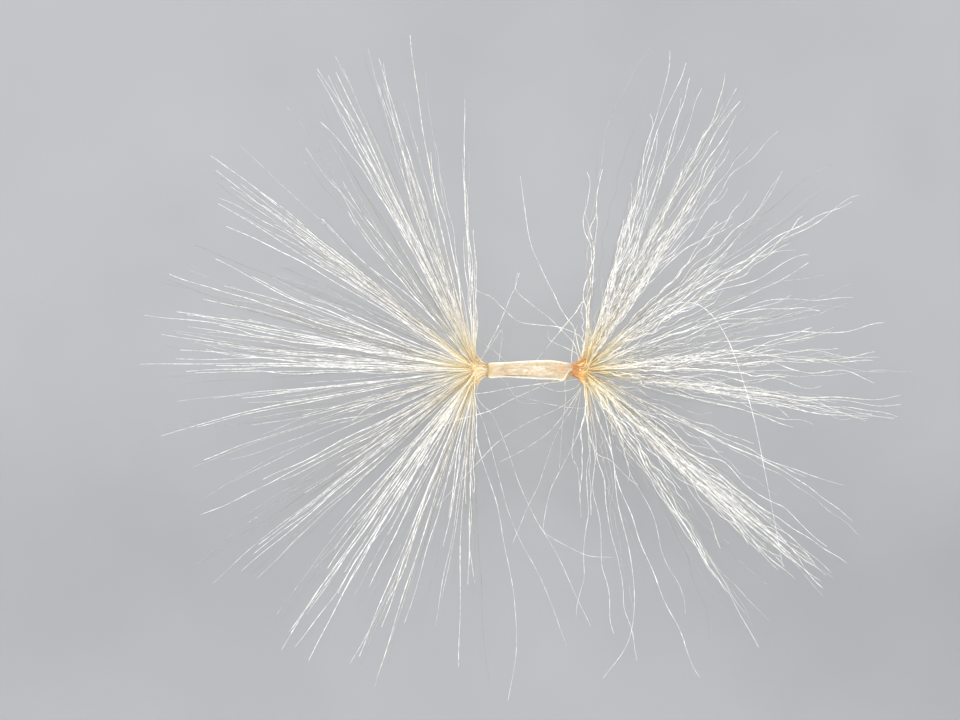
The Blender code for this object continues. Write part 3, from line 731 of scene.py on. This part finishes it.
def coat_radius(along, angle):
    """The solid's own radius at a share of its half length, from -1 to 1, and an angle round it.

    With it come the angle from the seam and how far the side under the seam's turn has fallen in.
    """
    belly = LEFT_END_SHARE + (1 - LEFT_END_SHARE) * smoothstep((along - BELLY_START) / BELLY_GROWTH)
    left, right = (np.clip(1 - np.abs(along) ** late, 0, 1) ** sharp for late, sharp in SHOULDERS)
    shoulder = np.where(along > 0, right, left)
    wide = JOINT_RADIUS + (SEED_RADIUS * belly - JOINT_RADIUS) * shoulder
    oval = wide * (1 - (1 - SEED_FLATNESS) * np.cos(angle) ** 2)
    face = FACE_HEIGHT * wide / np.maximum(np.cos(angle), FACE_COSINE)
    section = (oval**-FACE_EDGE + face**-FACE_EDGE) ** (-1 / FACE_EDGE)
    ending = smoothstep((along - SEAM_TURN_START) / (1 - SEAM_TURN_START))
    from_seam = turn_from(angle, SEAM_ANGLE + SEAM_TURN * ending)
    below = smoothstep(-from_seam / SIDE_EDGE) * smoothstep((from_seam + SIDE_WIDTH) / SIDE_FADE)
    section = section * (1 - SIDE_FALL * ending * below)
    corner = bell(along - CORNER_PLACE, CORNER_REACH)
    section = section + CORNER_HEIGHT * corner * bell(turn_from(angle, CORNER_ANGLE), CORNER_HALF_WIDTH)
    seam = SEAM_HEIGHT + sum(high * bell(along - at, reach) for at, reach, high in SEAM_BUMPS)
    seam = seam * bell(from_seam, SEAM_HALF_WIDTH)
    rim = RIM_HEIGHT * bell(turn_from(angle, RIM_ANGLE), SEAM_HALF_WIDTH)
    ribs = RIB_HEIGHT * np.cos(RIB_COUNT * angle) * smoothstep(-np.cos(angle))
    return section + (seam + rim + ribs) * shoulder, from_seam, ending * below


def coat_grid(rows, around):
    """The coat's points, in the solids' own place, and what goes with them."""
    along = np.sin(np.linspace(-math.pi / 2, math.pi / 2, rows))[:, None]
    angle = np.linspace(0, 2 * math.pi, around, endpoint=False)[None, :]
    radius, from_seam, fallen = coat_radius(along, angle)
    y = middle_aside(along) + radius * np.sin(angle)
    z = SEED_HEIGHT + radius * np.cos(angle)
    points = np.stack(np.broadcast_arrays(along * SEED_LENGTH / 2, y, z), -1)
    return points, along, angle, from_seam, fallen


def find_place():
    """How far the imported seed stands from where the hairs' rule has it."""
    low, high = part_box("seed_body")
    points = coat_grid(*PLACE_GRID)[0].reshape(-1, 3)
    return ((np.array(low) + np.array(high)) - (points.min(0) + points.max(0))) / 2


def groove_strength(along, from_seam):
    """How much of the groove beside the seam there is, from 0 to 1."""
    start = smoothstep((along - GROOVE_START) / GROOVE_GROWTH)
    end = smoothstep((GROOVE_END - along) / GROOVE_FADE)
    faint = 1 - FAINT_LOSS * smoothstep((along - FAINT_PLACE) / FAINT_GROWTH)
    return bell(from_seam - GROOVE_ANGLE, GROOVE_HALF_WIDTH) * (start * end * faint)


def make_coat(place, material):
    """The seed's coat, with fine grain along it and a groove beside its seam."""
    points, along, angle, from_seam, fallen = coat_grid(*COAT_GRID)
    draw = np.random.default_rng(COAT_SEED)
    grain = fold_noise(draw, angle + GRAIN_SWAY * np.sin(GRAIN_SWAY_TURN * along), *GRAIN)
    swell = sum(np.sin(ahead * along + around * angle + start) for ahead, around, start in SWELLS) / 2
    groove = groove_strength(along, from_seam)
    hollow = bell(turn_from(angle, HOLLOW_ANGLE), HOLLOW_HALF_WIDTH)
    change = GRAIN_HEIGHT * grain + SWELL_HEIGHT * swell - GROOVE_DEPTH * groove - HOLLOW_DEPTH * hollow
    change = change * smoothstep((1 - np.abs(along)) / PLAIN_END)
    outward = np.stack([0 * angle, np.sin(angle), np.cos(angle)], -1)
    points = points + outward * change[..., None]
    caps = []
    for ring in (points[:1], points[-1:]):
        centre = ring.mean(1, keepdims=True)
        caps.append(centre + (ring - centre) * COAT_CAP)
    mesh = grid_mesh("seed_coat", np.concatenate([caps[0], points, caps[1]]) + place)
    blush = bell(along - BLUSH_PLACE, BLUSH_REACH) * bell(turn_from(angle, BLUSH_ANGLE), BLUSH_HALF_WIDTH)
    values = {
        "rim": bell(from_seam, SEAM_PALE),
        "far_rim": bell(turn_from(angle, RIM_ANGLE), RIM_PALE),
        "groove": groove,
        "blush": blush,
        "fallen": fallen,
        "along": along,
    }
    for name, value in values.items():
        value = np.broadcast_to(value, COAT_GRID)
        add_values(mesh, name, np.concatenate([value[:1], value, value[-1:]]))
    coat = new_piece("seed_coat", mesh, material)
    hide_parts("seed_body")


# Materials.


class Nodes:
    """A Principled material and short calls for the nodes that feed it."""

    def __init__(self, name, roughness, **settings):
        self.material = bpy.data.materials.new(name)
        self.material.use_nodes = True
        self.tree = self.material.node_tree
        self.shader = self.tree.nodes["Principled BSDF"]
        self.shader.inputs["Roughness"].default_value = roughness
        for key, value in settings.items():
            self.shader.inputs[key.replace("_", " ")].default_value = value

    def put(self, value, socket):
        if isinstance(value, bpy.types.NodeSocket):
            self.tree.links.new(value, socket)
        else:
            socket.default_value = value

    def value_of(self, attribute):
        node = self.tree.nodes.new("ShaderNodeAttribute")
        node.attribute_name = attribute
        return node.outputs["Fac"]

    def place(self):
        return self.tree.nodes.new("ShaderNodeTexCoord").outputs["Object"]

    def noise(self, vector, scale, detail, stretch=(1, 1, 1)):
        mapping = self.tree.nodes.new("ShaderNodeMapping")
        mapping.inputs["Scale"].default_value = stretch
        self.tree.links.new(vector, mapping.inputs["Vector"])
        node = self.tree.nodes.new("ShaderNodeTexNoise")
        node.inputs["Scale"].default_value = scale
        node.inputs["Detail"].default_value = detail
        self.tree.links.new(mapping.outputs["Vector"], node.inputs["Vector"])
        return node.outputs["Fac"]

    def line_noise(self, along, scale, detail, shift):
        """Noise along a line, from a number, with another number that shifts it."""
        node = self.tree.nodes.new("ShaderNodeTexNoise")
        node.noise_dimensions = "1D"
        node.inputs["Scale"].default_value = scale
        node.inputs["Detail"].default_value = detail
        self.tree.links.new(self.sum(along, shift), node.inputs["W"])
        return node.outputs["Fac"]

    def math(self, operation, *values):
        node = self.tree.nodes.new("ShaderNodeMath")
        node.operation = operation
        for value, socket in zip(values, node.inputs):
            self.put(value, socket)
        return node.outputs["Value"]

    def sum(self, a, b):
        return self.math("ADD", a, b)

    def times(self, a, b):
        return self.math("MULTIPLY", a, b)

    def ramp(self, factor, stops):
        """Colours over a number: each stop is (position, colour)."""
        node = self.tree.nodes.new("ShaderNodeValToRGB")
        elements = node.color_ramp.elements
        elements.remove(elements[1])
        elements[0].position, elements[0].color = stops[0][0], (*stops[0][1], 1)
        for position, colour in stops[1:]:
            elements.new(position).color = (*colour, 1)
        self.tree.links.new(factor, node.inputs["Fac"])
        return node.outputs["Color"]

    def range(self, value, low, high, to_low, to_high):
        node = self.tree.nodes.new("ShaderNodeMapRange")
        for socket, number in zip(list(node.inputs)[1:5], (low, high, to_low, to_high)):
            socket.default_value = number
        self.tree.links.new(value, node.inputs["Value"])
        return node.outputs["Result"]

    def mix(self, factor, a, b, blend="MIX"):
        node = self.tree.nodes.new("ShaderNodeMix")
        node.data_type = "RGBA"
        node.blend_type = blend
        sockets = {s.identifier: s for s in node.inputs}
        self.put(factor, sockets["Factor_Float"])
        for value, key in ((a, "A_Color"), (b, "B_Color")):
            if isinstance(value, tuple):
                value = (*value, 1)
            self.put(value, sockets[key])
        return next(s for s in node.outputs if s.identifier == "Result_Color")

    def layers(self, colour, coats, blend="MIX"):
        """The colour under coats of others, each (how much of it, colour)."""
        for share, tint in coats:
            colour = self.mix(share, colour, tint, blend)
        return colour

    def bump(self, height, strength, distance):
        node = self.tree.nodes.new("ShaderNodeBump")
        node.inputs["Strength"].default_value = strength
        node.inputs["Distance"].default_value = distance
        self.tree.links.new(height, node.inputs["Height"])
        self.tree.links.new(node.outputs["Normal"], self.shader.inputs["Normal"])

    def finish(self, colour, roughness=None):
        self.put(colour, self.shader.inputs["Base Color"])
        if roughness is not None:
            self.tree.links.new(roughness, self.shader.inputs["Roughness"])
        return self.material


ORANGE, AMBER, GOLD = (0.66, 0.30, 0.055), (0.76, 0.54, 0.22), (0.84, 0.72, 0.42)
CREAM, IVORY, SILVER = (0.91, 0.84, 0.62), (0.95, 0.92, 0.82), (0.96, 0.96, 0.95)
ROOT_STOPS = {  # (millimetres from the joint, colour)
    LEFT: (
        (0.0, (0.60, 0.37, 0.18)), (0.2, (0.84, 0.69, 0.46)), (0.6, (0.95, 0.85, 0.66)),
        (1.5, (0.87, 0.71, 0.41)), (3.0, CREAM), (5.5, IVORY), (9.0, SILVER),
    ),
    RIGHT: (
        (0.0, (0.50, 0.24, 0.07)), (0.2, ORANGE), (1.1, (0.69, 0.36, 0.08)), (1.8, AMBER), (2.7, GOLD),
        (4.0, CREAM), (6.0, IVORY), (9.0, SILVER),
    ),
}
FAR = 20.0  # millimetres, where the stops' positions end
# The dashes also paint the hair's colour, brighter where it is glossy and darker where it is rough, as
# glints.
DASHES, DASH_DETAIL = 1.3, 2  # of gloss, in a millimetre of hair
DASH_SHIFT = 97.0  # millimetres, between the dashes of the two hairs whose tones differ most
FLOOR_STOPS = ((0.3, (0.30, 0.305, 0.315)), (0.7, (0.315, 0.32, 0.33)))


def root_colour(nodes, side, distance):
    stops = [(at / FAR, colour) for at, colour in ROOT_STOPS[side]]
    return nodes.ramp(nodes.times(distance, 1 / FAR), stops)


def silk(side):
    """Silky hair: coloured at its root, white further out, with dashes of gloss along it that are also
    painted on as glints, and some hairs painted dark as shade.
    """
    nodes = Nodes(f"silk_{side}", 0.3, Specular_IOR_Level=1.0, Sheen_Weight=0.3)
    distance, tone = nodes.value_of("distance"), nodes.value_of("tone")
    free = nodes.range(distance, 2.5, 9.0, 0.0, 1.0)
    near_root = nodes.range(distance, 3.0, 11.0, 1.0, 0.0)
    near = nodes.range(distance, 4.0, 14.0, 1.0, 0.3)
    dashes = nodes.line_noise(distance, DASHES, DASH_DETAIL, nodes.times(tone, DASH_SHIFT))
    golden = nodes.times(nodes.range(tone, 0.6, 0.3, 0.0, 0.8), near_root)
    beige = nodes.times(nodes.range(tone, 0.7, 1.0, 0.0, 1.0), near)
    # Painted shade: hairs with a low tone are made dark grey away from the root. They stand in for hairs
    # in shadow deeper in the tuft.
    painted_shade_grey = nodes.times(nodes.range(tone, 0.58, 0.15, 0.0, 1.0), free)
    # Painted highlight and shade: the colour is darker where the dashes are rough and stays bright where
    # they are glossy. This stands in for glints along the hair.
    painted_dim_dashes = nodes.times(nodes.range(dashes, 0.40, 0.56, 0.85, 0.0), free)
    coats = (
        (golden, (0.80, 0.70, 0.46)),
        (beige, (0.86, 0.74, 0.55)),
        (painted_shade_grey, (0.26, 0.24, 0.19)),
        (painted_dim_dashes, (0.50, 0.48, 0.44)),
    )
    colour = nodes.layers(root_colour(nodes, side, distance), coats, "MULTIPLY")
    return nodes.finish(colour, nodes.range(dashes, 0.4, 0.62, 0.42, 0.16))


def root_skin(side):
    """The root's skin: streaks of fibre over the same colours as the hairs' bases, with painted shade in
    the creases between its flutes.
    """
    nodes = Nodes(f"root_skin_{side}", 0.5, Specular_IOR_Level=0.4)
    distance, flute = nodes.value_of("distance"), nodes.value_of("flute")
    place = nodes.place()
    # Painted shade: darker and more golden where the flutes sink in, in the creases between them.
    between = nodes.range(flute, -1.4, 0.6, 0.45, 0.0)
    pale = nodes.range(nodes.noise(place, 1500, 4), 0.42, 0.7, 0.0, 0.4)
    colour = nodes.mix(between, root_colour(nodes, side, distance), (0.80, 0.62, 0.38), "MULTIPLY")
    colour = nodes.mix(pale, colour, (0.96, 0.90, 0.74))
    nodes.bump(nodes.noise(place, 9000, 3), 0.4, 0.03 * MM)
    return nodes.finish(colour)


def coat_skin():
    """The coat: cream with a fine grain, paler along its edges, partly as a painted highlight, darker at
    its ends, and with painted shade on the side that falls in near its right end.
    """
    nodes = Nodes("seed_coat_skin", 0.6, Specular_IOR_Level=0.35)
    place, along = nodes.place(), nodes.value_of("along")
    grain = nodes.noise(place, 3200, 5, (0.2, 1, 1))
    mottle = nodes.noise(place, 1300, 4, (0.6, 1, 1))
    blotch = nodes.noise(place, 2600, 4, (0.45, 1, 1))
    ochre = nodes.noise(place, 800, 3, (0.5, 1, 1))
    specks = nodes.noise(place, 5200, 2, (0.5, 1, 1))
    # Painted highlight, in part: the seam and rim ridges are painted pale, partly in their own colour and
    # partly as the light along those edges.
    pale = nodes.math("MAXIMUM", nodes.value_of("rim"), nodes.value_of("far_rim"))
    brown = nodes.times(nodes.range(along, 0.82, 1.0, 0.0, 0.8), nodes.range(mottle, 0.35, 0.55, 0.4, 1.0))
    coats = (
        (nodes.range(grain, 0.40, 0.60, 0.0, 1.0), (0.76, 0.69, 0.57)),
        (nodes.range(mottle, 0.46, 0.62, 0.0, 0.6), (0.68, 0.50, 0.35)),
        (nodes.range(blotch, 0.46, 0.66, 0.0, 0.65), (0.57, 0.42, 0.25)),
        (nodes.times(nodes.value_of("blush"), 0.45), (0.66, 0.38, 0.18)),
        (nodes.range(ochre, 0.50, 0.66, 0.0, 0.5), (0.56, 0.44, 0.24)),
        (nodes.range(specks, 0.52, 0.70, 0.0, 0.8), (0.44, 0.31, 0.18)),
        (nodes.range(along, -0.72, -0.98, 0.0, 0.75), (0.62, 0.48, 0.23)),
        # Painted shade: the side that falls in below the seam's turn, near the right end, is painted dark
        # brown.
        (nodes.times(nodes.value_of("fallen"), 0.9), (0.38, 0.28, 0.11)),
        (nodes.times(pale, 0.95), (0.92, 0.89, 0.80)),
        (nodes.times(nodes.value_of("groove"), 0.85), (0.20, 0.13, 0.06)),
        (brown, (0.56, 0.32, 0.13)),
        (nodes.range(along, -0.95, -1.0, 0.0, 0.8), (0.40, 0.26, 0.11)),
    )
    colour = nodes.layers((0.54, 0.44, 0.29), coats)
    nodes.bump(nodes.sum(grain, nodes.times(specks, 0.5)), 0.5, 0.04 * MM)
    return nodes.finish(colour, nodes.range(grain, 0.3, 0.7, 0.68, 0.5))


def floor_skin():
    nodes = Nodes("floor_skin", 0.9, Specular_IOR_Level=0.1)
    cloud = nodes.noise(nodes.place(), 60, 2)
    return nodes.finish(nodes.ramp(cloud, FLOOR_STOPS))


# The picture.


def make_floor():
    bpy.ops.mesh.primitive_plane_add(size=FLOOR_SIZE)
    floor = bpy.context.object
    floor.name = "floor"
    floor.data.materials.append(floor_skin())


def make_light(name, direction, distance, size, power):
    """A square soft light that looks at the seed's middle from a bearing and rise."""
    data = bpy.data.lights.new(name, "AREA")
    data.shape = "SQUARE"
    data.size = size
    data.energy = power
    lamp = bpy.data.objects.new(name, data)
    bpy.context.scene.collection.objects.link(lamp)
    towards = Vector(bearing_and_rise(*direction))
    lamp.location = Vector((0, 0, SEED_HEIGHT)) + towards * distance
    lamp.rotation_mode = "QUATERNION"
    lamp.rotation_quaternion = towards.to_track_quat("Z", "Y")


def make_camera(place):
    data = bpy.data.cameras.new("camera")
    data.sensor_width = SENSOR
    data.lens = SENSOR * CAMERA_DISTANCE / PICTURE_WIDTH
    data.clip_start = CAMERA_START
    camera = bpy.data.objects.new("camera", data)
    bpy.context.scene.collection.objects.link(camera)
    camera.location = place + (*CAMERA_SHIFT, SEED_HEIGHT + CAMERA_DISTANCE)
    bpy.context.scene.camera = camera


def make_world():
    world = bpy.data.worlds.new("room")
    world.use_nodes = True
    background = world.node_tree.nodes["Background"]
    background.inputs["Color"].default_value = ROOM_COLOUR
    background.inputs["Strength"].default_value = ROOM_LIGHT
    bpy.context.scene.world = world


PLACE = find_place()

make_coat(PLACE, coat_skin())
for side in (LEFT, RIGHT):
    make_root(NAMES[side] + "_root", side, PLACE, root_skin(side))
    make_hairs(NAMES[side] + "_hairs", side, PLACE, silk(side))
make_floor()
for light in LIGHTS:
    make_light(*light)
make_camera(PLACE)
make_world()
bpy.context.scene.view_settings.view_transform = "Standard"
